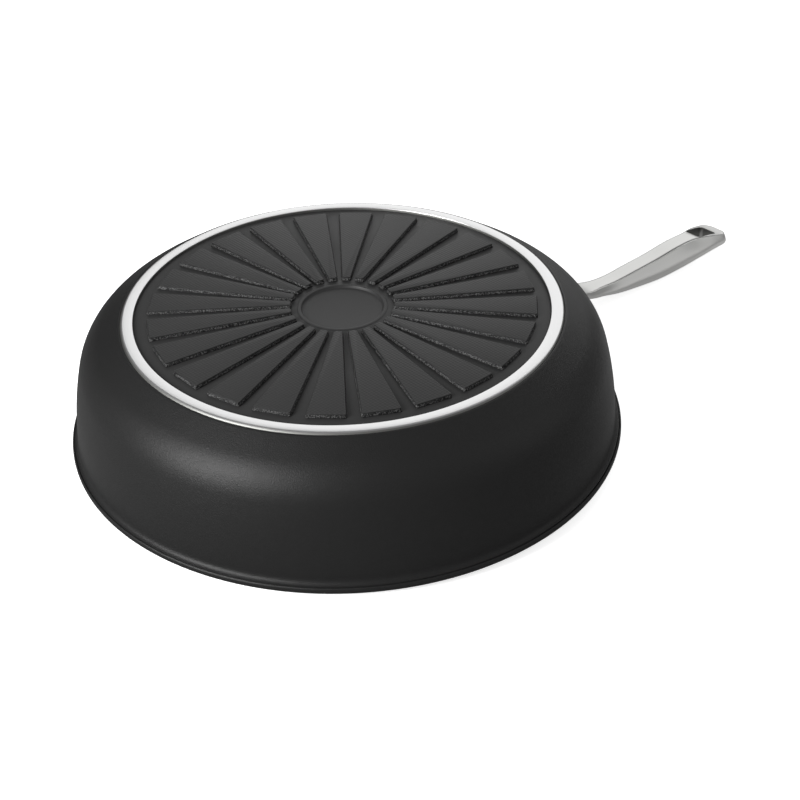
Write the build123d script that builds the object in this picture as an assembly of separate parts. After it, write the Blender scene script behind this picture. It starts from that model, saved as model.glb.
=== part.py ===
from build123d import *
import os
from math import asin, cos, pi, radians, sin, tan

# Frying pan, 28 cm across its rim, lying upside down as on a drying rack.
# Millimetres. The origin is the centre of the rim circle, in the plane that the rim stands on.
# +Z points out of the base, and the handle runs along +X.

# Bowl: a forged aluminium shell, given as a section that is turned about the Z axis
RIM_R = 140.0  # outside of the rim lip
BASE_H = 66.0  # from the rim plane to the flat of the bright ring
WALL_T = 3.0
FLOOR_T = 6.0  # from the cooking surface to the flat of the bright ring
BASE_EDGE_DROP = 0.9  # how far the coated base edge lies below the bright ring's flat
BEVEL_SLOPE = 33.0  # slope of the cone beside the base edge
BEVEL_LEN = 11.3
SHOULDER_R = 28.6
SHOULDER_SLOPE = 75.3  # slope where the shoulder turns into the wall
WALL_SLOPE = 88.0  # slope of the wall where it meets the lip
LIP_ZONE_H = 7.0  # height of the rim lip and the hollow behind it
LIP_OVERHANG = 3.3  # how far the lip stands out past the wall
LIP_EDGE_H = 3.2  # height of the lip's outer edge
LIP_HOLLOW_R = 2.2
LIP_ROUND_R = 1.0

# Base: a recess in the bowl that takes the bright ring and the patterned plate
RECESS_D = 3.3  # from the bright ring's flat to the seat
EDGE_LAND_W = 0.75  # coated land round the bright ring
RING_W = 6.5
RING_ROUND_R = 1.4  # rounding of the ring's outer edge
RING_BREAK = 0.3  # bevel of the ring's inner edge
PLATE_D = 1.3  # the plate's groove floor, below the bright ring's flat
SEAT_GAP = 0.05  # pieces that are pressed together stand this far apart on curved faces

# Patterned plate: radial pads round a bare sunk disc
PAD_COUNT = 24
PAD_H = 2.0
PAD_IN_R = 25.2
PAD_MARGIN = 6.6  # from the pads' outer ends to the plate's edge
PAD_GAP_IN = 2.4  # width of a groove at the pads' inner ends
PAD_GAP_OUT = 6.8  # width of a groove at the pads' outer ends
PAD_DRAFT = 12.0
PAD_CORNER_R = 1.2
PAD_EDGE_R = 0.4
DISC_R = 20.4
DISC_SUNK = 1.0  # below the groove floor
BORDER_W = 1.9
BORDER_H = 0.35

# Handle: one stainless steel casting. Each section across its grip has its place, as a share of
# the grip's length, the height of its flat face, that face's half width, the greatest half width
# and the depth.
GRIP_LEN = 165.8  # from the flange to the end of the flat face
GRIP_SECTIONS = [
    (0.0, 24.0, 9.0, 10.5, 9.0),
    (0.078, 17.0, 8.4, 9.8, 6.6),
    (0.164, 8.6, 7.8, 9.3, 5.4),
    (0.247, 2.6, 7.1, 9.2, 5.2),
    (0.32, 0.1, 5.0, 8.5, 6.2),
    (0.404, -1.3, 4.7, 8.5, 8.8),
    (0.5, -1.1, 4.9, 9.3, 11.6),
    (0.619, -0.8, 4.9, 10.5, 14.0),
    (0.74, 0.2, 5.0, 11.4, 15.0),
    (0.83, -0.4, 5.1, 11.5, 13.8),
    (0.908, -2.3, 7.5, 11.1, 11.2),
    (0.968, -4.8, 8.6, 10.4, 8.9),
    (1.03, -7.0, 9.2, 10.0, 7.4),
]
SECTION_WIDEST = 0.52  # share of a section's depth at which it is widest
SECTION_CORNER = (0.8, 0.86)  # shares of the half width and depth at its rounded lower corner
GRIP_END_Z = -5.8  # height of the flat face where it ends
GRIP_END_LEAN = 14.0  # how far the end leans outwards below the flat face, in degrees
GRIP_END_HALF_W = 9.9
GRIP_END_SPREAD = 12.0  # how far the end's sides open out towards the bowl, in degrees
GRIP_END_CORNER_R = 7.0
GRIP_BLEND_R = 2.0  # rounding of the end's lower edge
SLOT_W = 11.5
SLOT_L = 16.5
SLOT_TIP = 7.8  # metal between the slot and the end of the flat face
SLOT_CORNER_R = 2.0
FLANGE_T = 3.2
FLANGE_MARGIN = 9.5  # from a rivet's centre to the flange's edge

# Rivets: two beside the handle's root and one nearer to the base
RIVET_R = 3.0
RIVET_HEAD_R = 5.8
RIVET_HEAD_H = 2.0
RIVET_SIDE_Y = 20.5
RIVET_SIDE_Z = 17.0
RIVET_MID_Z = 32.5
RIVET_SPOTS = [(RIVET_SIDE_Y, RIVET_SIDE_Z), (-RIVET_SIDE_Y, RIVET_SIDE_Z), (0.0, RIVET_MID_Z)]


def heading(slope):
    """Unit direction in the bowl's section that goes outwards and down at this slope."""
    return Vector(cos(radians(slope)), -sin(radians(slope)))


def inward(slope):
    """Unit direction in the bowl's section from an outside face of this slope into the metal."""
    return Vector(-sin(radians(slope)), -cos(radians(slope)))


def turned(section):
    """The solid that a face in the radius-height plane makes round the Z axis."""
    return revolve(Plane.XZ * section, Axis.Z)


# Outside of the bowl. The lip's reach fixes the wall, and the wall fixes the base edge.
SHOULDER_TOP_Z = BASE_H - BASE_EDGE_DROP - BEVEL_LEN * sin(radians(BEVEL_SLOPE))
WALL_TOP_Z = SHOULDER_TOP_Z - SHOULDER_R * (cos(radians(BEVEL_SLOPE)) - cos(radians(SHOULDER_SLOPE)))
WALL_R = (WALL_TOP_Z - LIP_ZONE_H) / (cos(radians(SHOULDER_SLOPE)) - cos(radians(WALL_SLOPE)))
WALL_FOOT = Vector(RIM_R - LIP_OVERHANG, LIP_ZONE_H)
WALL_CENTRE = WALL_FOOT + inward(WALL_SLOPE) * WALL_R
WALL_TOP = WALL_CENTRE - inward(SHOULDER_SLOPE) * WALL_R
BEVEL_FOOT = WALL_TOP + (inward(SHOULDER_SLOPE) - inward(BEVEL_SLOPE)) * SHOULDER_R
BASE_EDGE = BEVEL_FOOT - heading(BEVEL_SLOPE) * BEVEL_LEN

# Sizes of the base that follow from the bowl
RING_OUT_R = BASE_EDGE.X - EDGE_LAND_W
RING_IN_R = RING_OUT_R - RING_W
SEAT_Z = BASE_H - RECESS_D
PLATE_R = RING_IN_R - SEAT_GAP
PLATE_TOP_Z = BASE_H - PLATE_D


def wall_radius(z, offset=0.0):
    """Radius at height z of the wall's outside, or of a surface that lies this far out from it."""
    return WALL_CENTRE.X + ((WALL_R + offset) ** 2 - (z - WALL_CENTRE.Y) ** 2) ** 0.5


def wall_plane(y, z):
    """Plane on the wall's outside at this place, facing out of the bowl."""
    lean = asin((z - WALL_CENTRE.Y) / WALL_R)
    turn = asin(y / wall_radius(z))
    spot = Vector(wall_radius(z) * cos(turn), wall_radius(z) * sin(turn), z)
    return Plane(origin=spot, z_dir=Vector(cos(turn) * cos(lean), sin(turn) * cos(lean), sin(lean)))


def rivet_hole():
    """The room for a rivet's shank, through the wall and the flange."""
    return Cylinder(RIVET_R + SEAT_GAP, 4 * (WALL_T + FLANGE_T))


def make_body():
    """The bowl, with its rim lip, the recess in its base and its rivet holes."""
    bevel = Line(BASE_EDGE, BEVEL_FOOT)
    shoulder = JernArc(BEVEL_FOOT, heading(BEVEL_SLOPE), SHOULDER_R, BEVEL_SLOPE - SHOULDER_SLOPE)
    wall = JernArc(WALL_TOP, heading(SHOULDER_SLOPE), WALL_R, SHOULDER_SLOPE - WALL_SLOPE)

    inner_top = WALL_TOP + inward(SHOULDER_SLOPE) * WALL_T
    inner_foot = WALL_FOOT + inward(WALL_SLOPE) * WALL_T
    floor_z = BASE_H - FLOOR_T
    inner_r = (floor_z - inner_top.Y) / (1 - cos(radians(SHOULDER_SLOPE)))
    floor_edge = Vector(inner_top.X - inner_r * sin(radians(SHOULDER_SLOPE)), floor_z)
    inner_wall = JernArc(inner_top, heading(SHOULDER_SLOPE), WALL_R - WALL_T, SHOULDER_SLOPE - WALL_SLOPE)
    inner_shoulder = JernArc(floor_edge, heading(0), inner_r, -SHOULDER_SLOPE)

    rim = FilletPolyline(
        WALL_FOOT,
        (WALL_FOOT.X, LIP_EDGE_H),
        (RIM_R, LIP_EDGE_H),
        (RIM_R, 0),
        (inner_foot.X, 0),
        inner_foot,
        radius=[LIP_HOLLOW_R, LIP_ROUND_R, LIP_ROUND_R, LIP_ROUND_R],
    )
    recess_r = RING_OUT_R + SEAT_GAP
    base = Polyline(
        floor_edge, (0, floor_z), (0, SEAT_Z), (recess_r, SEAT_Z), (recess_r, BASE_EDGE.Y), BASE_EDGE
    )
    outline = [*base.edges(), bevel, shoulder, wall, *rim.edges(), inner_wall, inner_shoulder]
    body = turned(make_face(Wire(outline)))
    for y, z in RIVET_SPOTS:
        body -= wall_plane(y, z) * rivet_hole()
    return body


def make_ring():
    """The bright ring: bare turned metal with a rounded outer edge."""
    section = make_face(Polyline(
        (RING_IN_R, SEAT_Z), (RING_OUT_R, SEAT_Z), (RING_OUT_R, BASE_H), (RING_IN_R, BASE_H), close=True
    ))
    inner, outer = section.vertices().group_by(Axis.Y)[-1].sort_by(Axis.X)
    section = chamfer(inner, RING_BREAK)
    outer = section.vertices().group_by(Axis.Y)[-1].sort_by(Axis.X)[-1]
    return turned(fillet(outer, RING_ROUND_R))


def make_pad():
    """One raised pad, on the +X side, with its narrow end towards the axis."""
    pad_out_r = PLATE_R - PAD_MARGIN
    in_half_w = (2 * pi / PAD_COUNT * PAD_IN_R - PAD_GAP_IN) / 2
    out_half_w = (2 * pi / PAD_COUNT * pad_out_r - PAD_GAP_OUT) / 2
    foot = make_face(Polyline(
        (PAD_IN_R, -in_half_w), (pad_out_r, -out_half_w), (pad_out_r, out_half_w), (PAD_IN_R, in_half_w),
        close=True,
    ))
    foot = fillet(foot.vertices(), PAD_CORNER_R)
    pad = extrude(Pos(0, 0, PLATE_TOP_Z) * foot, PAD_H, taper=PAD_DRAFT)
    return fillet(pad.faces().sort_by(Axis.Z)[-1].edges(), PAD_EDGE_R)


def make_plate():
    """The patterned plate: a disc with a sunk middle, a low border round that, and radial pads."""
    border_z = PLATE_TOP_Z + BORDER_H
    disc_z = PLATE_TOP_Z - DISC_SUNK
    border_r = DISC_R + BORDER_W
    plate = turned(make_face(Polyline(
        (0, SEAT_Z),
        (PLATE_R, SEAT_Z),
        (PLATE_R, PLATE_TOP_Z),
        (border_r + BORDER_H, PLATE_TOP_Z),
        (border_r, border_z),
        (DISC_R, border_z),
        (DISC_R - (border_z - disc_z) / 2, disc_z),
        (0, disc_z),
        close=True,
    )))
    pad = make_pad()
    return plate + [Rot(0, 0, 360 / PAD_COUNT * i) * pad for i in range(PAD_COUNT)]


def grip_section(share, face_z, flat, half, depth):
    """Section across the grip: a flat face with a sharp edge each side, over a full rounded body."""
    widest_z = -SECTION_WIDEST * depth
    corner_y, corner_z = SECTION_CORNER[0] * half, -SECTION_CORNER[1] * depth
    body = Spline(
        (flat, 0), (half, widest_z), (corner_y, corner_z), (0, -depth),
        (-corner_y, corner_z), (-half, widest_z), (-flat, 0),
    )
    face = make_face(Wire([Line((-flat, 0), (flat, 0)), body]))
    return Plane(origin=(grip_x(share), 0, face_z), x_dir=(0, 1, 0), z_dir=(1, 0, 0)) * face


def grip_x(share):
    """Distance from the pan's axis, a share of the way along the grip."""
    root_z = GRIP_SECTIONS[0][1]
    return wall_radius(root_z, FLANGE_T / 2) + share * GRIP_LEN


def make_grip():
    """The grip, from inside the flange to its rounded end, with the hanging slot."""
    end_x, end_z = grip_x(1), GRIP_END_Z
    root_half_w = GRIP_END_HALF_W + end_x * tan(radians(GRIP_END_SPREAD))
    outline = make_face(Polyline(
        (0, -root_half_w), (end_x, -GRIP_END_HALF_W), (end_x, GRIP_END_HALF_W), (0, root_half_w), close=True
    ))
    outline = Pos(0, 0, end_z) * fillet(outline.vertices().group_by(Axis.X)[-1], GRIP_END_CORNER_R)
    deepest = max(depth for _, _, _, _, depth in GRIP_SECTIONS)
    above = extrude(outline, BASE_H)
    below = extrude(outline, deepest, dir=(0, 0, -1), taper=-GRIP_END_LEAN)
    grip = loft([grip_section(*numbers) for numbers in GRIP_SECTIONS]) & (above + below)

    low_edges = grip.edges().filter_by(GeomType.BSPLINE).filter_by(
        lambda edge: edge.center().X > end_x and edge.center().Z < end_z - GRIP_BLEND_R
    )
    grip = fillet(low_edges, GRIP_BLEND_R)
    slot = extrude(RectangleRounded(SLOT_L, SLOT_W, SLOT_CORNER_R), BASE_H, both=True)
    return grip - Pos(end_x - SLOT_TIP - SLOT_L / 2, 0, 0) * slot


def make_flange():
    """The plate that is riveted to the wall, curved to lie on it."""
    low, high = RIVET_SIDE_Z - FLANGE_MARGIN, RIVET_MID_Z + FLANGE_MARGIN
    heights = (low, (low + high) / 2, high)
    inner = [Vector(wall_radius(z, SEAT_GAP), z) for z in heights]
    outer = [Vector(wall_radius(z, FLANGE_T), z) for z in heights]
    band = turned(make_face(Wire([
        ThreePointArc(*inner),
        Line(inner[-1], outer[-1]),
        ThreePointArc(*outer[::-1]),
        Line(outer[0], inner[0]),
    ])))
    circles = Sketch() + [Pos(y, z) * Circle(FLANGE_MARGIN) for y, z in RIVET_SPOTS]
    front = Plane(origin=(0, 0, 0), x_dir=(0, 1, 0), z_dir=(1, 0, 0))
    return band & extrude(front * make_hull(circles.edges()), 2 * RIM_R)


def make_handle():
    """The handle casting: flange, neck, grip and hanging slot, with its rivet holes."""
    handle = make_grip() + make_flange()
    for y, z in RIVET_SPOTS:
        handle -= wall_plane(y, z) * rivet_hole()
    return handle


def make_rivet(y, z):
    """One rivet, square to the wall: one head bears on the wall inside, the other on the flange."""
    dome_r = (RIVET_HEAD_R**2 + RIVET_HEAD_H**2) / (2 * RIVET_HEAD_H)
    ball = Pos(0, 0, RIVET_HEAD_H - dome_r) * Sphere(dome_r)
    head = ball & Pos(0, 0, dome_r) * Box(2 * dome_r, 2 * dome_r, 2 * dome_r)
    hollow = RIVET_HEAD_R**2 / (2 * (wall_radius(z) - WALL_T))  # of the round wall behind the inner head
    inner_z = -WALL_T - hollow - SEAT_GAP
    shank = Pos(0, 0, (FLANGE_T + inner_z) / 2) * Cylinder(RIVET_R, FLANGE_T - inner_z)
    rivet = shank + Pos(0, 0, FLANGE_T) * head + Pos(0, 0, inner_z) * Rot(180, 0, 0) * head
    return wall_plane(y, z) * rivet


os.makedirs("parts", exist_ok=True)
export_step(make_body(), "parts/pan_body.step")
export_step(make_ring(), "parts/base_ring.step")
export_step(make_plate(), "parts/base_plate.step")
export_step(make_handle(), "parts/handle.step")
export_step(Compound(children=[make_rivet(y, z) for y, z in RIVET_SPOTS]), "parts/rivets.step")
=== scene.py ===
import math
import bpy
from mathutils import Matrix, Vector


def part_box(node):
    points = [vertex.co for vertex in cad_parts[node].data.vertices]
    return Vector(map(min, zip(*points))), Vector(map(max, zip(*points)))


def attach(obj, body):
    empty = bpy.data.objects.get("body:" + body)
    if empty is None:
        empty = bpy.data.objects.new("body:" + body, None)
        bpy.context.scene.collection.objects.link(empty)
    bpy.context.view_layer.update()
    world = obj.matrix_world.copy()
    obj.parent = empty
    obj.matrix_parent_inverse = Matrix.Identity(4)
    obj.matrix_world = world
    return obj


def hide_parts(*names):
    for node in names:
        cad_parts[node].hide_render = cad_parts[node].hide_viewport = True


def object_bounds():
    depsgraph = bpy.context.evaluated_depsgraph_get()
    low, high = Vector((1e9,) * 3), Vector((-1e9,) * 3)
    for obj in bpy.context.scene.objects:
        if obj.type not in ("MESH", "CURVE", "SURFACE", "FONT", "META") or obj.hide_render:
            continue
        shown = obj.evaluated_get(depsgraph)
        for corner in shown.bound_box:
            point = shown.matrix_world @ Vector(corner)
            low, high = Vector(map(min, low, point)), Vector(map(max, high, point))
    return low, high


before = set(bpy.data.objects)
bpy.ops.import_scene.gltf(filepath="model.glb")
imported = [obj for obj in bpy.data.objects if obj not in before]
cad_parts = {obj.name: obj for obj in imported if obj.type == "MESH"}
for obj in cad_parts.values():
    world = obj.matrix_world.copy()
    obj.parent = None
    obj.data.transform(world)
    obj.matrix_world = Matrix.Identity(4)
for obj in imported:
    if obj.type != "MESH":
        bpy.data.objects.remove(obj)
cad_low, cad_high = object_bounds()
bpy.ops.object.select_all(action="DESELECT")

# The bowl: one forged aluminium shell, spun to a section that runs from the base down over a
# round shoulder to the rolled-out lip, and back up inside to the flat floor. It is sprayed with
# a black PTFE coat and baked, which leaves a satin skin with a fine grain.
MM = 0.001  # metres in a millimetre, which is the unit of every size without another one
AROUND = 240  # sides of the bowl, the ring and the plate
POLE_R = 1.0  # where an open section ends beside the axis
MERGE = 0.002  # points that lie closer than this become one
SMOOTH_ANGLE = 35.0  # degrees: a sharper edge than this stays an edge in the light
RIM_R = cad_high.y / MM
WALL_T = 3.0
FLOOR_Z = 60.0
FLOOR_LOOPS = 40.0, 80.0  # edge loops that keep the wide floor flat in the light
SEAT_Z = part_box("base_plate")[0].z / MM
SEAT_LOOP = 60.0  # the same for the seat under the plate, and for the plate
BASE_EDGE_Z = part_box("pan_body")[1].z / MM
RING_OUT_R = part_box("base_ring")[1].y / MM
RECESS_GAP = 0.1
BEVEL_SLOPE, SHOULDER_SLOPE, WALL_SLOPE = 33.0, 75.3, 88.0
BEVEL_LEN = 11.3
BEVEL_LOOP, BEVEL_CUT, FLAT_CUT = 0.8, 0.3, 0.25  # an edge loop and the small chamfer at the base's edge
SHOULDER_R = 28.6
LIP_ZONE_H = 7.0
LIP_OVERHANG = 3.3
MOUTH = [(0.1, 1.2), (0.4, 0.4), (1.2, 0.0)]  # how far outside the inner wall, height
LIP = [  # how far inside the rim, height: the land, the round edge, the groove behind it and the neck
    (1.2, 0.0), (0.45, 0.2), (0.1, 0.6), (0.0, 1.1),
    (0.0, 1.9), (0.08, 2.5), (0.3, 2.95), (0.65, 3.15),
    (0.95, 3.05), (1.1, 2.8), (1.2, 3.1), (1.3, 3.55),
    (1.75, 3.75), (2.4, 4.25), (2.9, 5.0), (3.2, 5.95),
]


def heading(slope):
    """Unit direction in the section that goes outwards and down at this slope."""
    return Vector((math.cos(math.radians(slope)), -math.sin(math.radians(slope))))


def inward(slope):
    """Unit direction in the section from an outside face of this slope into the metal."""
    return Vector((-math.sin(math.radians(slope)), -math.cos(math.radians(slope))))


def bend(centre, radius, first, last, steps):
    """Points of a round stretch of the section, from the first slope to the last."""
    slopes = [first + (last - first) * i / steps for i in range(steps + 1)]
    return [centre - inward(slope) * radius for slope in slopes]


def close_up():
    """Ends the edit of a piece: doubles merge, faces turn outwards, and rounds are shaded smooth."""
    bpy.ops.mesh.select_all(action="SELECT")
    bpy.ops.mesh.remove_doubles(threshold=MERGE * MM)
    bpy.ops.mesh.normals_make_consistent(inside=False)
    bpy.ops.object.mode_set(mode="OBJECT")
    bpy.ops.object.shade_smooth_by_angle(angle=math.radians(SMOOTH_ANGLE))


def turn_piece(name, section, closed=False, sides=AROUND):
    """A piece turned on the Z axis: a circle that is drawn out from point to point of its section.
    An open section starts and ends beside the axis, where it is capped. A closed one is a ring."""
    radius, height = section[0]
    bpy.ops.mesh.primitive_circle_add(
        vertices=sides, radius=radius * MM, location=(0, 0, height * MM),
        fill_type="NOTHING" if closed else "NGON",
    )
    piece = bpy.context.object
    piece.name = piece.data.name = name
    bpy.ops.object.transform_apply(location=True, rotation=True, scale=True)
    bpy.ops.object.mode_set(mode="EDIT")
    bpy.ops.mesh.select_all(action="SELECT")
    for new_radius, new_height in [*section[1:], *(section[:1] if closed else [])]:
        rise = (0, 0, (new_height - height) * MM)
        bpy.ops.mesh.extrude_edges_move(TRANSFORM_OT_translate={"value": rise})
        grow = new_radius / radius
        bpy.ops.transform.resize(value=(grow, grow, 1), center_override=(0, 0, 0))
        radius, height = new_radius, new_height
    if not closed:
        bpy.ops.mesh.edge_face_add()
    close_up()
    return piece


def finish_piece(piece, material, slot, *nodes):
    """Gives a finished piece its material and its body, and hides the CAD nodes that it stands for. The slot
    is not used.
    """
    piece.data.materials.clear()
    piece.data.materials.append(material)
    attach(piece, "root")
    if nodes:
        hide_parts(*nodes)
    bpy.ops.object.select_all(action="DESELECT")


def linear(code):
    """An sRGB hex colour as the linear RGBA of a socket."""
    parts = [int(code[i:i + 2], 16) / 255 for i in (1, 3, 5)]
    return [p / 12.92 if p <= 0.04045 else ((p + 0.055) / 1.055) ** 2.4 for p in parts] + [1.0]


def node(material, kind, inputs, **settings):
    """Adds a shader node. Each input is a value, or another node's output that is linked to it."""
    made = material.node_tree.nodes.new("ShaderNode" + kind)
    for key, value in settings.items():
        setattr(made, key, value)
    feed(material, made, inputs)
    return made


def feed(material, made, inputs):
    """Sets or links the inputs of a node. A Mix node has several inputs A and B, one of each in use."""
    for key, value in inputs.items():
        socket = made.inputs[key]
        if made.type == "MIX" and key in ("A", "B"):
            socket = next(one for one in made.inputs if one.name == key and one.enabled)
        if isinstance(value, bpy.types.NodeSocket):
            material.node_tree.links.new(value, socket)
        else:
            socket.default_value = value


def new_material(name, inputs):
    """A material with these inputs on its Principled shader."""
    material = bpy.data.materials.new(name)
    material.use_nodes = True
    shader = material.node_tree.nodes["Principled BSDF"]
    feed(material, shader, inputs)
    return material, shader


wall_foot = Vector((RIM_R - LIP_OVERHANG, LIP_ZONE_H))
bevel_top_z = BASE_EDGE_Z - BEVEL_LEN * math.sin(math.radians(BEVEL_SLOPE))
wall_top_z = bevel_top_z - SHOULDER_R * (inward(SHOULDER_SLOPE) - inward(BEVEL_SLOPE)).y
wall_r = (wall_top_z - LIP_ZONE_H) / (inward(WALL_SLOPE) - inward(SHOULDER_SLOPE)).y
wall_centre = wall_foot + inward(WALL_SLOPE) * wall_r
shoulder_centre = wall_centre + inward(SHOULDER_SLOPE) * (SHOULDER_R - wall_r)
bevel_foot = shoulder_centre - inward(BEVEL_SLOPE) * SHOULDER_R
base_edge = bevel_foot - heading(BEVEL_SLOPE) * BEVEL_LEN
inner_drop = FLOOR_Z - (wall_centre - inward(SHOULDER_SLOPE) * (wall_r - WALL_T)).y
inner_shoulder_r = inner_drop / (1 + inward(SHOULDER_SLOPE).y)
inner_centre = wall_centre - inward(SHOULDER_SLOPE) * (wall_r - WALL_T - inner_shoulder_r)
inner_foot = wall_foot + inward(WALL_SLOPE) * WALL_T

bowl = turn_piece("bowl", [
    *[(radius, FLOOR_Z) for radius in (POLE_R, *FLOOR_LOOPS)],
    *bend(inner_centre, inner_shoulder_r, 0, SHOULDER_SLOPE, steps=18),
    *bend(wall_centre, wall_r - WALL_T, SHOULDER_SLOPE, WALL_SLOPE, steps=8)[1:],
    *[(inner_foot.x + out, height) for out, height in MOUTH],
    *[(RIM_R - back, height) for back, height in LIP],
    *bend(wall_centre, wall_r, WALL_SLOPE, SHOULDER_SLOPE, steps=12),
    *bend(shoulder_centre, SHOULDER_R, SHOULDER_SLOPE, BEVEL_SLOPE, steps=14)[1:],
    base_edge + heading(BEVEL_SLOPE) * BEVEL_LOOP,
    base_edge + heading(BEVEL_SLOPE) * BEVEL_CUT,
    base_edge - Vector((FLAT_CUT, 0.0)),
    (RING_OUT_R + RECESS_GAP, BASE_EDGE_Z),
    (RING_OUT_R + RECESS_GAP, SEAT_Z),
    (SEAT_LOOP, SEAT_Z),
    (POLE_R, SEAT_Z),
])

# Baked PTFE gives near black, with broad soft lights that its grain breaks up.
COAT_GRAIN = 0.55  # a real grain of 0.2 mm, drawn as coarse as it needs to show
coat, coat_shader = new_material("baked_ptfe_coat", {
    "Base Color": linear("#1A1A1A"), "Roughness": 0.4, "IOR": 1.3,
})
place = node(coat, "TexCoord", {})
grain = node(coat, "TexNoise", {
    "Vector": place.outputs["Object"], "Scale": 1 / (COAT_GRAIN * MM), "Detail": 3.0, "Roughness": 0.6,
})
grain_bump = node(coat, "Bump", {
    "Height": grain.outputs["Fac"], "Strength": 1.0, "Distance": 0.16 * MM,
})
feed(coat, coat_shader, {"Normal": grain_bump.outputs["Normal"]})
finish_piece(bowl, coat, "coated_aluminium", "pan_body")

# The bright ring: the bare metal of the base, faced on a lathe to a flat band with a rounded
# outer edge. The tool leaves fine lines round the band, and the light runs along them. The
# rounded edge is painted a duller grey, a painted shade that dims the lights it mirrors.
RING_W = 6.5
RING_IN_R = RING_OUT_R - RING_W
RING_TOP_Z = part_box("base_ring")[1].z / MM
RING_ROUND_R = 1.7
RING_BREAK_W, RING_BREAK_H = 0.5, 0.4  # the broken inner edge
round_centre = Vector((RING_OUT_R - RING_ROUND_R, RING_TOP_Z - RING_ROUND_R))
ring = turn_piece("bright_ring", [
    (RING_IN_R, SEAT_Z),
    (RING_OUT_R, SEAT_Z),
    *bend(round_centre, RING_ROUND_R, first=90, last=0, steps=6),
    (RING_IN_R + RING_BREAK_W, RING_TOP_Z),
    (RING_IN_R + 0.3 * RING_BREAK_W, RING_TOP_Z - 0.25 * RING_BREAK_H),
    (RING_IN_R, RING_TOP_Z - RING_BREAK_H),
], closed=True)

# Turned steel gives a bright band whose sheen is broken into fine rings; its rounded edge is painted greyer,
# a painted shade.
TURNING_PITCH = 0.5  # the real feed of 0.15 mm, drawn as coarse as it needs to show
# Depths below the ring's face where the edge's painted shade is full and where it is gone.
EDGE_SHADE_FULL, EDGE_SHADE_GONE = 0.4, 0.12  # below the ring's face
steel, steel_shader = new_material("turned_steel", {"Metallic": 1.0})
place = node(steel, "TexCoord", {})
apart = node(steel, "SeparateXYZ", {"Vector": place.outputs["Object"]})
flat_place = node(steel, "CombineXYZ", {"X": apart.outputs["X"], "Y": apart.outputs["Y"]})
distance = node(steel, "VectorMath", {0: flat_place.outputs["Vector"]}, operation="LENGTH")
line_place = node(steel, "CombineXYZ", {"X": distance.outputs["Value"]})
lines = node(steel, "TexNoise", {
    "Vector": line_place.outputs["Vector"],
    "Scale": 1 / (TURNING_PITCH * MM), "Detail": 2.0, "Roughness": 0.6,
})
line_bump = node(steel, "Bump", {"Height": lines.outputs["Fac"], "Strength": 0.25, "Distance": 0.05 * MM})
# The edge's painted shade: below the face the steel is painted grey, which dims the lights it mirrors.
faced = node(steel, "MapRange", {
    "Value": apart.outputs["Z"],
    "From Min": (RING_TOP_Z - EDGE_SHADE_FULL) * MM, "From Max": (RING_TOP_Z - EDGE_SHADE_GONE) * MM,
})
tone = node(steel, "Mix", {
    "Factor": faced.outputs["Result"], "A": linear("#7C7C7A"), "B": linear("#DEDEDE"),
}, data_type="RGBA")
gloss = node(steel, "MapRange", {"Value": faced.outputs["Result"], "To Min": 0.5, "To Max": 0.3})
feed(steel, steel_shader, {
    "Base Color": tone.outputs["Result"], "Roughness": gloss.outputs["Result"],
    "Normal": line_bump.outputs["Normal"],
})
finish_piece(ring, steel, "ring_steel", "base_ring")

# The base plate: an aluminium disc pressed into the recess, with a sunk middle inside a low
# rounded border. It is blasted and coated black, which leaves a dull even skin.
PLATE_GAP = 0.05  # round the plate, inside the ring
PLATE_R = RING_IN_R - PLATE_GAP
PLATE_SUNK = 1.3  # below the ring's face
PLATE_Z = RING_TOP_Z - PLATE_SUNK
PLATE_EDGE = [(0.0, 0.4), (0.1, 0.12), (0.4, 0.0)]  # how far inside the plate's radius, how far down
DISC_R = 20.4
DISC_SUNK = 1.0  # below the plate
BORDER_W, BORDER_H = 1.9, 0.35
BORDER = [  # how far outside the disc's radius, height over the plate
    (BORDER_W + 0.5, 0.0),
    (BORDER_W + 0.15, 0.08),
    (BORDER_W - 0.1, BORDER_H - 0.08),
    (BORDER_W - 0.4, BORDER_H),
    (0.4, BORDER_H),
    (0.1, BORDER_H - 0.1),
    (-0.1, BORDER_H - 0.4),
    (-0.6, 0.2 - DISC_SUNK),
    (-0.8, 0.05 - DISC_SUNK),
    (-1.2, -DISC_SUNK),
]
plate = turn_piece("base_disc", [
    (POLE_R, SEAT_Z),
    (PLATE_R, SEAT_Z),
    *[(PLATE_R - back, PLATE_Z - down) for back, down in PLATE_EDGE],
    (SEAT_LOOP, PLATE_Z),
    *[(DISC_R + out, PLATE_Z + height) for out, height in BORDER],
    (POLE_R, PLATE_Z - DISC_SUNK),
])

# A blasted coat gives an even dark grey, with no lights that have an edge.
BLAST_GRAIN = 0.7  # a real grain of 0.3 mm, drawn as coarse as it needs to show
dull, dull_shader = new_material("blasted_black_coat", {
    "Base Color": linear("#262626"), "Roughness": 0.5, "IOR": 1.35,
})
place = node(dull, "TexCoord", {})
blast = node(dull, "TexNoise", {
    "Vector": place.outputs["Object"], "Scale": 1 / (BLAST_GRAIN * MM), "Detail": 2.0, "Roughness": 0.5,
})
blast_bump = node(dull, "Bump", {"Height": blast.outputs["Fac"], "Strength": 0.2, "Distance": 0.08 * MM})
feed(dull, dull_shader, {"Normal": blast_bump.outputs["Normal"]})
finish_piece(plate, dull, "coated_plate", "base_plate")
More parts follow.
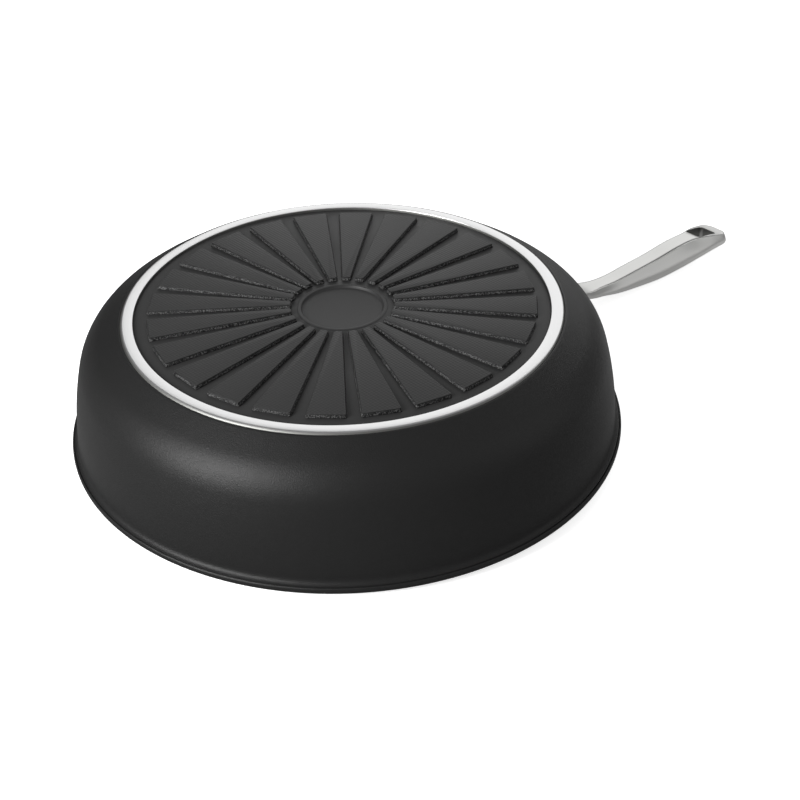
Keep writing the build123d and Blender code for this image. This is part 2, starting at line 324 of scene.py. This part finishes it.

# The pads: 24 raised wedges that stand on the hob, stamped up from the aluminium plate. The die
# leaves a fine waffle on their tops and tears the metal of their sloping sides. The coat follows
# both. The sides are painted near black as painted shade, with light flecks halfway up as painted glints.
PAD_COUNT = 24
PAD_TOP_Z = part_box("base_plate")[1].z / MM
PAD_H = PAD_TOP_Z - PLATE_Z
PLATE_MARGIN = 6.6  # flat of the plate outside the pads
PAD_IN_R, PAD_OUT_R = 25.2, PLATE_R - PLATE_MARGIN
PAD_GAP_IN, PAD_GAP_OUT = 1.8, 6.2  # width of a groove at its inner and outer end
PAD_DRAFT = 0.5  # how far the sides lean in
PAD_CORNER_R = 1.2
PAD_EDGE_R = 0.3
PAD_SUNK = 0.3  # the foot of a pad, inside the plate
in_half_w = (math.tau / PAD_COUNT * PAD_IN_R - PAD_GAP_IN) / 2
out_half_w = (math.tau / PAD_COUNT * PAD_OUT_R - PAD_GAP_OUT) / 2
pad_middle = (PAD_OUT_R + PAD_IN_R) / 2
bpy.ops.mesh.primitive_plane_add(size=1)
pad = bpy.context.object
pad.name = pad.data.name = "pad_01"
bpy.ops.object.mode_set(mode="EDIT")
bpy.ops.mesh.select_all(action="SELECT")
bpy.ops.transform.resize(value=((PAD_OUT_R - PAD_IN_R) * MM, 2 * out_half_w * MM, 1))
bpy.ops.transform.translate(value=(pad_middle * MM, 0, (PLATE_Z - PAD_SUNK) * MM))
bpy.ops.mesh.select_all(action="DESELECT")
bpy.ops.object.mode_set(mode="OBJECT")
for corner in pad.data.vertices:
    corner.select = corner.co.x < pad_middle * MM
bpy.ops.object.mode_set(mode="EDIT")
bpy.ops.transform.resize(value=(1, in_half_w / out_half_w, 1))
bpy.ops.mesh.select_all(action="SELECT")
bpy.ops.mesh.bevel(offset=PAD_CORNER_R * MM, segments=4, affect="VERTICES")
bpy.ops.mesh.select_all(action="SELECT")
bpy.ops.mesh.extrude_region_move(TRANSFORM_OT_translate={"value": (0, 0, PAD_SUNK * MM)})
bpy.ops.mesh.inset(thickness=PAD_DRAFT * MM)
bpy.ops.transform.translate(value=(0, 0, PAD_H * MM))
bpy.ops.mesh.bevel(offset=PAD_EDGE_R * MM, segments=3, affect="EDGES")
close_up()

# A waffled coat gives tops of an even fine check; its sides carry painted shade and painted glints.
WAFFLE_PITCH, WAFFLE_TURN = 2.2, 45  # length of its two crossed waves, and degrees that they are turned
WALL_GRAIN = 0.6  # torn metal of 0.3 mm, drawn as coarse as it needs to show
WAFFLE_NONE, WAFFLE_FULL = 0.2, 0.05  # below a pad's top
# The band of painted glints on the sides; at the foot and under the brow the painted shade stays near black.
FOOT_NONE, FOOT_FULL = 0.15, 0.45  # over the plate, where specks start
BROW_NONE, BROW_FULL = 0.35, 0.6  # below a pad's top, where specks end
waffled, waffled_shader = new_material("waffled_black_coat", {"Roughness": 0.5, "IOR": 1.35})
place = node(waffled, "TexCoord", {})
turned = node(waffled, "Mapping", {
    "Vector": place.outputs["Object"], "Rotation": (0, 0, math.radians(WAFFLE_TURN)),
    "Scale": [math.tau / (WAFFLE_PITCH * MM)] * 3,
})
grid = node(waffled, "SeparateXYZ", {"Vector": turned.outputs["Vector"]})
waves = [node(waffled, "Math", {0: grid.outputs[axis]}, operation="SINE") for axis in ("X", "Y")]
waffle = node(waffled, "Math", {
    0: waves[0].outputs["Value"], 1: waves[1].outputs["Value"],
}, operation="MULTIPLY")
torn = node(waffled, "TexNoise", {
    "Vector": place.outputs["Object"], "Scale": 1 / (WALL_GRAIN * MM), "Detail": 2.0, "Roughness": 0.6,
})
height = node(waffled, "SeparateXYZ", {"Vector": place.outputs["Object"]})
pad_top = node(waffled, "MapRange", {
    "Value": height.outputs["Z"],
    "From Min": (PAD_TOP_Z - WAFFLE_NONE) * MM, "From Max": (PAD_TOP_Z - WAFFLE_FULL) * MM,
})
waffle_bump = node(waffled, "Bump", {
    "Height": waffle.outputs["Value"], "Strength": pad_top.outputs["Result"], "Distance": 0.035 * MM,
})
wall = node(waffled, "Math", {0: 1.0, 1: pad_top.outputs["Result"]}, operation="SUBTRACT")
wall_bump = node(waffled, "Bump", {
    "Height": torn.outputs["Fac"], "Strength": wall.outputs["Value"], "Distance": 0.4 * MM,
    "Normal": waffle_bump.outputs["Normal"],
})
# Painted glints: flecks of a light tone halfway up the sides stand in for grains that catch the lamps.
glint_pattern = node(waffled, "MapRange", {"Value": torn.outputs["Fac"], "From Min": 0.48, "From Max": 0.6})
over_foot = node(waffled, "MapRange", {
    "Value": height.outputs["Z"],
    "From Min": (PLATE_Z + FOOT_NONE) * MM, "From Max": (PLATE_Z + FOOT_FULL) * MM,
})
under_brow = node(waffled, "MapRange", {
    "Value": height.outputs["Z"],
    "From Min": (PAD_TOP_Z - BROW_NONE) * MM, "From Max": (PAD_TOP_Z - BROW_FULL) * MM,
})
halfway = node(waffled, "Math", {
    0: over_foot.outputs["Result"], 1: under_brow.outputs["Result"],
}, operation="MULTIPLY")
painted_glints = node(waffled, "Math", {
    0: halfway.outputs["Value"], 1: glint_pattern.outputs["Result"],
}, operation="MULTIPLY")
# The sides are painted near black as painted shade, with the painted glints in light grey on it.
shaded_wall_tone = node(waffled, "Mix", {
    "Factor": painted_glints.outputs["Value"], "A": linear("#0A0A0A"), "B": linear("#545454"),
}, data_type="RGBA")
pad_tone = node(waffled, "Mix", {
    "Factor": pad_top.outputs["Result"], "A": shaded_wall_tone.outputs["Result"], "B": linear("#262626"),
}, data_type="RGBA")
feed(waffled, waffled_shader, {
    "Base Color": pad_tone.outputs["Result"], "Normal": wall_bump.outputs["Normal"],
})
finish_piece(pad, waffled, "coated_plate")


def own_copy(piece, name):
    """A copy of a piece with a mesh of its own."""
    twin = piece.copy()
    twin.data = piece.data.copy()
    twin.name = twin.data.name = name
    bpy.context.scene.collection.objects.link(twin)
    return twin


for count in range(1, PAD_COUNT):
    twin = own_copy(pad, f"pad_{count + 1:02d}")
    twin.data.transform(Matrix.Rotation(math.tau * count / PAD_COUNT, 4, "Z"))
    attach(twin, "root")

# The handle: one stainless steel casting, riveted to the wall by its flange, which is the CAD
# casting's own. The grip is a grid that is wrapped round and drawn through sections, with a fine
# crease beside its flat face and the hanging slot cut through it. It is ground and tumbled.
GRIP = [  # place along X, height of the flat face, its half width, greatest half width, depth
    (136.8, 24.0, 9.0, 10.5, 9.0),
    (149.7, 17.0, 8.4, 9.8, 6.6),
    (164.0, 8.6, 7.8, 9.3, 5.4),
    (177.8, 2.6, 7.1, 9.2, 5.2),
    (189.9, 0.1, 5.0, 8.5, 6.2),
    (203.8, -1.3, 4.7, 8.5, 8.8),
    (219.7, -1.1, 4.9, 9.3, 11.6),
    (239.4, -0.8, 4.9, 10.5, 14.0),
    (259.5, 0.2, 5.0, 11.4, 15.0),
    (274.4, -0.4, 5.1, 11.5, 13.8),
    (287.3, -2.3, 7.5, 11.1, 11.2),
    (297.3, -4.8, 8.6, 10.4, 8.9),
    (307.6, -7.0, 9.2, 10.0, 7.4),
]
GRIP_STATIONS, TIP_STATIONS = 62, 10  # sections along the grip, and round the corners of its tip
TIP_X, TIP_CORNER_R, TIP_HALF_W = 303.4, 7.0, 9.9
TIP_LEAN = 14.0  # degrees that the end face leans back under the flat face
LEAN_START_X, LEAN_ZONE = 290.0, 12.0  # where the sections start to lean, and over what length
CREASE_W, CREASE_DEPTH = 0.7, 0.7
CREASE_FLOOR_IN = 0.1  # from the face's edge in to the bottom of the crease
FLAT_STEPS = 0.0, 0.4, 0.7, 0.9, 1.0  # shares of the flat face, from its middle to the crease
CREASE_COLUMN = len(FLAT_STEPS)  # the bottom of the crease is the next point of a section
SIDE_STEPS = 0.04, 0.12, 0.25, 0.45, 0.7, 1.0, 1.2, 1.4, 1.63, 1.85, 2.1, 2.35, 2.58
BELLY_AT, KEEL_AT = 1.63, 2.58  # ways round the side, where 0 is its top and 1 its widest point
WIDEST_DOWN = 0.52  # share of the depth
BELLY_W, BELLY_DOWN = 0.8, 0.86  # shares of the greatest half width and of the depth
SLOT_MIDDLE, SLOT_L, SLOT_W, SLOT_CORNER_R = 286.55, 16.5, 11.5, 2.0
SLOT_EDGE_R = 0.6
# The walls of the slot are painted with this share of the crease's painted shade.
SLOT_SHADE_SHARE = 0.5  # share of the crease's dark tone on the walls of the slot, which aren't ground
CUTTER_H = 60.0  # tall enough to pass right through the grip
CORNER_SLACK, WALL_SLACK = 0.1, 0.02  # how far off the slot's outline a point may lie
STEEP = 0.7  # rise over length of an edge, past which it runs down a wall of the slot
FLANGE_CUT_X = 140.2  # where the flange ends, inside the grip


def between(table, at):
    """The other columns of a table, drawn smoothly between its rows at a value of its first one."""
    i = max(0, min(len(table) - 2, sum(row[0] <= at for row in table) - 1))
    one, two = table[i], table[i + 1]
    before, after = table[max(i - 1, 0)], table[min(i + 2, len(table) - 1)]
    step = two[0] - one[0]
    t = (at - one[0]) / step
    values = []
    for k in range(1, len(one)):
        rise_one = (two[k] - before[k]) / (two[0] - before[0]) * step
        rise_two = (after[k] - one[k]) / (after[0] - one[0]) * step
        values.append(
            (2 * t**3 - 3 * t**2 + 1) * one[k] + (t**3 - 2 * t**2 + t) * rise_one
            + (3 * t**2 - 2 * t**3) * two[k] + (t**3 - t**2) * rise_two
        )
    return values


def grip_section(at, narrow=1.0):
    """Half a section of the grip: the flat face from its middle, the crease, then the side."""
    face_z, flat, half, depth = between(GRIP, at)
    side = [
        (0.0, flat, 0.0),
        (1.0, half, -WIDEST_DOWN * depth),
        (BELLY_AT, BELLY_W * half, -BELLY_DOWN * depth),
        (KEEL_AT, 0.0, -depth),
        (2 * KEEL_AT - BELLY_AT, -BELLY_W * half, -BELLY_DOWN * depth),
    ]
    points = [((flat - CREASE_W / 2) * share, 0.0) for share in FLAT_STEPS]
    points.append((flat - CREASE_FLOOR_IN, -CREASE_DEPTH))
    points += [between(side, way) for way in SIDE_STEPS]
    lean = math.tan(math.radians(TIP_LEAN)) * max(0.0, min(1.0, (at - LEAN_START_X) / LEAN_ZONE))
    return [Vector((at - z * lean, y * narrow, face_z + z)) * MM for y, z in points]


root_x, corner_x = GRIP[0][0], TIP_X - TIP_CORNER_R
sections = [grip_section(root_x + (corner_x - root_x) * i / GRIP_STATIONS) for i in range(GRIP_STATIONS)]
for i in range(TIP_STATIONS + 1):
    angle = math.radians(90 * i / TIP_STATIONS)
    narrow = 1 - TIP_CORNER_R * (1 - math.cos(angle)) / TIP_HALF_W
    sections.append(grip_section(corner_x + TIP_CORNER_R * math.sin(angle), narrow))
along = len(sections) - 1
across = 2 * (len(sections[0]) - 1)
bpy.ops.mesh.primitive_grid_add(x_subdivisions=across, y_subdivisions=along, size=1)
grip = bpy.context.object
grip.name = grip.data.name = "cast_handle"
# Painted shade: the bottom of the crease is marked for a dark tone, and the slot's walls get a share of it
# below.
painted_shade = grip.data.attributes.new("painted_shade", "FLOAT", "POINT")
for point in grip.data.vertices:
    column = round((point.co.x + 0.5) * across) - across // 2
    spot = sections[round((point.co.y + 0.5) * along)][abs(column)]
    point.co = (spot.x, math.copysign(spot.y, column), spot.z)
    painted_shade.data[point.index].value = float(abs(column) == CREASE_COLUMN)
bpy.ops.object.mode_set(mode="EDIT")
bpy.ops.mesh.select_all(action="SELECT")
bpy.ops.mesh.remove_doubles(threshold=MERGE * MM)
bpy.ops.mesh.fill_holes(sides=0)
bpy.ops.mesh.select_all(action="SELECT")
bpy.ops.mesh.normals_make_consistent(inside=False)
bpy.ops.object.mode_set(mode="OBJECT")

bpy.ops.object.select_all(action="DESELECT")
bpy.ops.mesh.primitive_cube_add(
    size=1, location=(SLOT_MIDDLE * MM, 0, 0), scale=(SLOT_L * MM, SLOT_W * MM, CUTTER_H * MM),
)
cutter = bpy.context.object
bpy.ops.object.transform_apply(location=True, rotation=True, scale=True)
bpy.ops.object.mode_set(mode="EDIT")
bpy.ops.mesh.select_all(action="DESELECT")
bpy.ops.object.mode_set(mode="OBJECT")
for edge in cutter.data.edges:
    one, two = (cutter.data.vertices[i].co for i in edge.vertices)
    edge.select = abs(one.z - two.z) > CUTTER_H / 2 * MM
bpy.ops.object.mode_set(mode="EDIT")
bpy.ops.mesh.select_mode(type="EDGE")
bpy.ops.mesh.bevel(offset=SLOT_CORNER_R * MM, segments=5, affect="EDGES")
bpy.ops.mesh.select_all(action="DESELECT")
bpy.ops.mesh.select_mode(type="VERT")
bpy.ops.object.mode_set(mode="OBJECT")
bpy.context.view_layer.objects.active = grip
cut = grip.modifiers.new("slot", "BOOLEAN")
cut.operation, cut.object, cut.solver = "DIFFERENCE", cutter, "EXACT"
bpy.ops.object.modifier_apply(modifier="slot")
bpy.data.objects.remove(cutter)


def beside_slot(point):
    """Whether a point of the handle lies on the wall of the slot."""
    out_x = abs(point.x / MM - SLOT_MIDDLE) - (SLOT_L / 2 - SLOT_CORNER_R)
    out_y = abs(point.y / MM) - (SLOT_W / 2 - SLOT_CORNER_R)
    if min(out_x, out_y) > 0:
        return abs(math.hypot(out_x, out_y) - SLOT_CORNER_R) < CORNER_SLACK
    return abs(max(out_x, out_y) - SLOT_CORNER_R) < WALL_SLACK


for part in (*grip.data.vertices, *grip.data.edges, *grip.data.polygons):
    part.select = False
for edge in grip.data.edges:
    one, two = (grip.data.vertices[i].co for i in edge.vertices)
    level = abs(one.z - two.z) <= STEEP * (one - two).length
    edge.select = beside_slot(one) and beside_slot(two) and level
bpy.ops.object.select_all(action="DESELECT")
grip.select_set(True)
bpy.ops.object.mode_set(mode="EDIT")
bpy.ops.mesh.select_mode(type="EDGE")
bpy.ops.mesh.bevel(offset=SLOT_EDGE_R * MM, segments=3, affect="EDGES", clamp_overlap=True)
bpy.ops.mesh.select_mode(type="VERT")
bpy.ops.mesh.select_all(action="DESELECT")
bpy.ops.object.mode_set(mode="OBJECT")
# The slot's walls get a share of the painted shade.
for point in grip.data.vertices:
    if beside_slot(point.co):
        grip.data.attributes["painted_shade"].data[point.index].value = SLOT_SHADE_SHARE

flange = own_copy(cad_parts["handle"], "flange")
bpy.ops.object.select_all(action="DESELECT")
flange.select_set(True)
bpy.context.view_layer.objects.active = flange
bpy.ops.object.mode_set(mode="EDIT")
bpy.ops.mesh.select_all(action="SELECT")
bpy.ops.mesh.remove_doubles(threshold=MERGE * MM)
bpy.ops.mesh.bisect(plane_co=(FLANGE_CUT_X * MM, 0, 0), plane_no=(1, 0, 0), use_fill=True, clear_outer=True)
bpy.ops.mesh.select_all(action="SELECT")
bpy.ops.mesh.normals_make_consistent(inside=False)
bpy.ops.mesh.select_all(action="DESELECT")
bpy.ops.object.mode_set(mode="OBJECT")
grip.select_set(True)
bpy.context.view_layer.objects.active = grip
bpy.ops.object.join()
bpy.ops.object.shade_smooth_by_angle(angle=math.radians(SMOOTH_ANGLE))

# Tumbled cast steel gives an even pale satin. Its crease and the walls of its slot are painted dark, a
# painted shade.
TUMBLE_GRAIN = 0.8  # scratches of 0.1 mm, drawn as coarse as they need to show
satin, satin_shader = new_material("satin_cast_steel", {"Metallic": 1.0, "Roughness": 0.34})
place = node(satin, "TexCoord", {})
tumbled = node(satin, "TexNoise", {
    "Vector": place.outputs["Object"], "Scale": 1 / (TUMBLE_GRAIN * MM), "Detail": 3.0, "Roughness": 0.6,
})
tumble_bump = node(satin, "Bump", {"Height": tumbled.outputs["Fac"], "Strength": 0.15, "Distance": 0.05 * MM})
shade_share = node(satin, "Attribute", {}, attribute_name="painted_shade")
tone = node(satin, "Mix", {
    "Factor": shade_share.outputs["Fac"], "A": linear("#CACAC8"), "B": linear("#343432"),
}, data_type="RGBA")
feed(satin, satin_shader, {"Base Color": tone.outputs["Result"], "Normal": tumble_bump.outputs["Normal"]})
finish_piece(grip, satin, "handle_steel", "handle")

# The rivets: three solid stainless steel rivets with domed heads, two beside the handle's root and
# one nearer to the base. Each is turned about its own axis and then set square to the wall.
RIVET_SIDES = 64
FLANGE_T = 3.2
RIVET_R, RIVET_HEAD_R, RIVET_HEAD_H = 3.0, 5.8, 2.0
RIVET_INNER_Z = -WALL_T - 0.18  # the wall curves, and the inner head bears on it by its edge
RIVET_SPOTS = [(20.5, 17.0), (-20.5, 17.0), (0.0, 32.5)]  # place along Y, height
DOME_LOOPS = 0.3, 1.5, 2.8, 3.9, 4.8, 5.4, 5.7
dome_r = (RIVET_HEAD_R**2 + RIVET_HEAD_H**2) / (2 * RIVET_HEAD_H)
dome = [(radius, RIVET_HEAD_H - dome_r + math.sqrt(dome_r**2 - radius**2)) for radius in DOME_LOOPS]
rivet = turn_piece("rivet_1", [
    *[(radius, RIVET_INNER_Z - height) for radius, height in dome],
    (RIVET_HEAD_R, RIVET_INNER_Z),
    (RIVET_R, RIVET_INNER_Z),
    (RIVET_R, FLANGE_T),
    (RIVET_HEAD_R, FLANGE_T),
    *[(radius, FLANGE_T + height) for radius, height in dome[::-1]],
], sides=RIVET_SIDES)
finish_piece(rivet, satin, "rivet_steel", "rivets")
for count, (y, z) in enumerate(RIVET_SPOTS):
    placed = rivet
    if count < len(RIVET_SPOTS) - 1:
        placed = own_copy(rivet, f"rivet_{count + 2}")
        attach(placed, "root")
    lean = math.asin((z - wall_centre.y) / wall_r)
    radius = wall_centre.x + wall_r * math.cos(lean)
    set_on_wall = (
        Matrix.Rotation(math.asin(y / radius), 4, "Z")
        @ Matrix.Translation(Vector((radius, 0, z)) * MM)
        @ Matrix.Rotation(math.radians(90) - lean, 4, "Y")
    )
    placed.data.transform(set_on_wall)

# The floor: white paper that the pan lies on, rim and handle end down. It leans a little in the
# pan's frame, because the handle's end is lower than the rim. In reflections it has a level of
# its own, darker than the paper, with lighter spots at the left and by the handle.
FLOOR_SIZE = 12.0  # metres
FLOOR_GLOW = 0.7  # the light that it adds of its own, as the camera sees it
FLOOR_MIRRORED = 0.22  # its level in reflections
PHOTO_TURN = 41.5  # degrees that the handle points away from the photograph's own right


def photo_direction(azimuth, elevation):
    """Unit vector in the pan's frame, for a direction given as seen in the photograph."""
    a, e = math.radians(azimuth - PHOTO_TURN), math.radians(elevation)
    return Vector((math.cos(e) * math.cos(a), math.cos(e) * math.sin(a), math.sin(e)))


SPOTS = [  # middle, radius where it starts to fade, radius where it ends, in metres, and added level
    (photo_direction(-165, 0) * 0.2, 0.04, 0.14, 0.12),
    (Vector((0.25, 0.0, 0.0)), 0.05, 0.2, 0.24),
    (Vector((0.3, 0.0, 0.0)) + photo_direction(15, 0) * 0.05, 0.03, 0.09, 0.22),
]
fall = max(-point.co.z / (point.co.x + RIM_R * MM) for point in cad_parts["handle"].data.vertices)
bpy.ops.mesh.primitive_plane_add(
    size=FLOOR_SIZE, location=(0, 0, -fall * RIM_R * MM), rotation=(0, math.atan(fall), 0),
)
floor = bpy.context.object
floor.name = "floor"

# Paper gives the camera an even white, and the pan a dim one to mirror.
paper, paper_shader = new_material("white_paper", {"Base Color": linear("#EDEDED"), "Roughness": 0.9})
rays = node(paper, "LightPath", {})
place = node(paper, "TexCoord", {})
level = FLOOR_MIRRORED
for middle, fade_start, fade_end, added in SPOTS:
    away = node(paper, "VectorMath", {0: place.outputs["Object"], 1: middle}, operation="DISTANCE")
    spot = node(paper, "MapRange", {
        "Value": away.outputs["Value"],
        "From Min": fade_start, "From Max": fade_end, "To Min": added, "To Max": 0.0,
    })
    level = node(paper, "Math", {0: level, 1: spot.outputs["Result"]}, operation="ADD").outputs["Value"]
mirrored = node(paper, "Math", {0: rays.outputs["Is Glossy Ray"], 1: level}, operation="MULTIPLY")
direct = node(paper, "Math", {
    0: rays.outputs["Is Camera Ray"], 1: rays.outputs["Is Transmission Ray"],
}, operation="MAXIMUM")
seen_glow = node(paper, "Math", {0: direct.outputs["Value"], 1: FLOOR_GLOW}, operation="MULTIPLY")
strength = node(paper, "Math", {0: seen_glow.outputs["Value"], 1: mirrored.outputs["Value"]}, operation="ADD")
glow = node(paper, "Emission", {"Color": linear("#FFFFFF"), "Strength": strength.outputs["Value"]})
lit = node(paper, "AddShader", {0: paper_shader.outputs["BSDF"], 1: glow.outputs["Emission"]})
whole = node(paper, "MixShader", {
    "Fac": rays.outputs["Is Glossy Ray"], 1: lit.outputs["Shader"], 2: glow.outputs["Emission"],
})
feed(paper, paper.node_tree.nodes["Material Output"], {"Surface": whole.outputs["Shader"]})
floor.data.materials.append(paper)

# The black flag: a board of black felt that stands behind the pan on its left. Only reflections
# see it, and it keeps the left shoulder of the bowl dark.
FLAG_AZIMUTH = 129  # degrees, as seen in the photograph
FLAG_W, FLAG_H, FLAG_AWAY = 0.55, 0.3, 0.6  # metres
FLAG_LIFT = 0.4 * FLAG_H
toward = photo_direction(FLAG_AZIMUTH, 0)
bpy.ops.mesh.primitive_plane_add(
    size=1, location=toward * FLAG_AWAY + Vector((0, 0, FLAG_LIFT)),
    rotation=(-toward).to_track_quat("Z", "Y").to_euler(),
)
flag = bpy.context.object
flag.name = "black_flag"
flag.scale = (FLAG_W, FLAG_H, 1)

# Felt gives back next to no light.
felt, _ = new_material("black_felt", {"Base Color": linear("#070707"), "Roughness": 1.0})
flag.data.materials.append(felt)
flag.visible_camera = flag.visible_diffuse = flag.visible_shadow = flag.visible_transmission = False

# The studio's walls: white to the camera, softer as a light on the pan, and dim in reflections,
# so that the black coat stays black.
SEEN, LIGHTING, MIRRORED = 1.0, 0.55, 0.25  # levels
world = bpy.data.worlds.new("studio")
bpy.context.scene.world = world
world.use_nodes = True
rays = node(world, "LightPath", {})
direct = node(world, "Math", {
    0: rays.outputs["Is Camera Ray"], 1: rays.outputs["Is Transmission Ray"],
}, operation="MAXIMUM")
mirrored = node(world, "Math", {
    0: rays.outputs["Is Glossy Ray"], 1: MIRRORED - LIGHTING,
}, operation="MULTIPLY")
lifted = node(world, "Math", {
    0: direct.outputs["Value"], 1: SEEN - LIGHTING, 2: LIGHTING,
}, operation="MULTIPLY_ADD")
strength = node(world, "Math", {0: lifted.outputs["Value"], 1: mirrored.outputs["Value"]}, operation="ADD")
feed(world, world.node_tree.nodes["Background"], {
    "Color": linear("#FFFFFF"), "Strength": strength.outputs["Value"],
})


# The lamps: a small bright one at the front left, which draws the light on the bowl, a wide one
# behind the pan and a dim one on its right.
def add_lamp(name, azimuth, elevation, distance, width, height, level):
    """A soft lamp in metres that faces the pan from this side, as seen in the photograph.
    The level is the brightness of its face, where 1 is white."""
    data = bpy.data.lights.new(name, "AREA")
    data.shape, data.size, data.size_y = "RECTANGLE", width, height
    data.energy = level * math.pi * width * height
    lamp = bpy.data.objects.new(name, data)
    bpy.context.scene.collection.objects.link(lamp)
    toward = photo_direction(azimuth, elevation)
    lamp.location = toward * distance
    lamp.rotation_euler = toward.to_track_quat("Z", "Y").to_euler()
    lamp.visible_camera = False


add_lamp("key_left_front", azimuth=-143, elevation=29, distance=1.2, width=0.55, height=0.55, level=22)
add_lamp("back_panel", azimuth=77, elevation=26, distance=1.6, width=1.9, height=1.3, level=1.0)
add_lamp("right_panel", azimuth=-5, elevation=24, distance=1.5, width=1.1, height=1.15, level=0.58)

# The camera: where the photograph was taken from, in a frame that is turned so that X is the
# photograph's right. Its place, tilt and lens were fitted to the rim, the ring and the handle.
CAMERA_SPOT = Vector((27.2, -675.1, 470.2))
CAMERA_TILT = 34.39  # degrees down
CAMERA_ROLL = -1.462  # degrees
CAMERA_LENS, SENSOR_W = 71.73, 36.0
CAMERA_NEAR = 0.01  # metres
camera_data = bpy.data.cameras.new("photo_camera")
camera_data.lens, camera_data.sensor_width = CAMERA_LENS, SENSOR_W
camera_data.clip_start = CAMERA_NEAR
camera = bpy.data.objects.new("photo_camera", camera_data)
bpy.context.scene.collection.objects.link(camera)
turn = Matrix.Rotation(math.radians(-PHOTO_TURN), 4, "Z")
tilt = Matrix.Rotation(math.radians(90 - CAMERA_TILT), 4, "X")
roll = Matrix.Rotation(math.radians(CAMERA_ROLL), 4, "Z")
camera.matrix_world = turn @ Matrix.Translation(CAMERA_SPOT * MM) @ tilt @ roll
bpy.context.scene.camera = camera
bpy.context.scene.view_settings.view_transform = "Standard"
